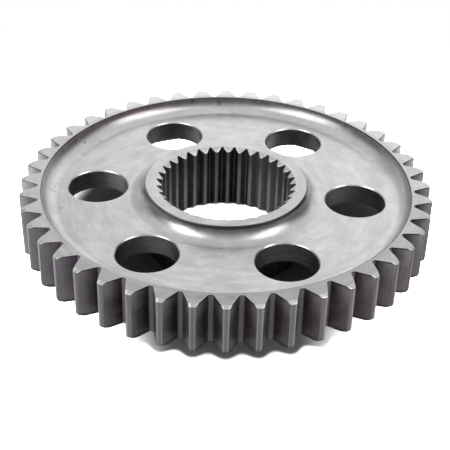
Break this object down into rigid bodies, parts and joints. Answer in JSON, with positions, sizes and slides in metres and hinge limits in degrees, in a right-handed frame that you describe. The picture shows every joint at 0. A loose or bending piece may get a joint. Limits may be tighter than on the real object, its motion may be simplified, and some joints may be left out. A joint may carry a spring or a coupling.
{
  "type": "chain sprocket",
  "caption": "Toothed steel sprocket for an inverted-tooth chain, with a dished web, round lightening holes and a hub with a splined bore.",
  "frame": {"origin": "centre of the hub's lower end, on the axis of rotation", "axes": "+Z along the axis of rotation, from the long lower end of the hub to the end that is flush with the rim; +X through the centre of one lightening hole"},
  "size_m": [0.1338, 0.1338, 0.0228],
  "materials": {
    "machined_steel": "satin machined steel, pale grey on the turned faces, darker on the tooth flanks and in the bore"
  },
  "bodies": {
    "root": {"sprocket": "machined_steel"}
  },
  "joints": []
}
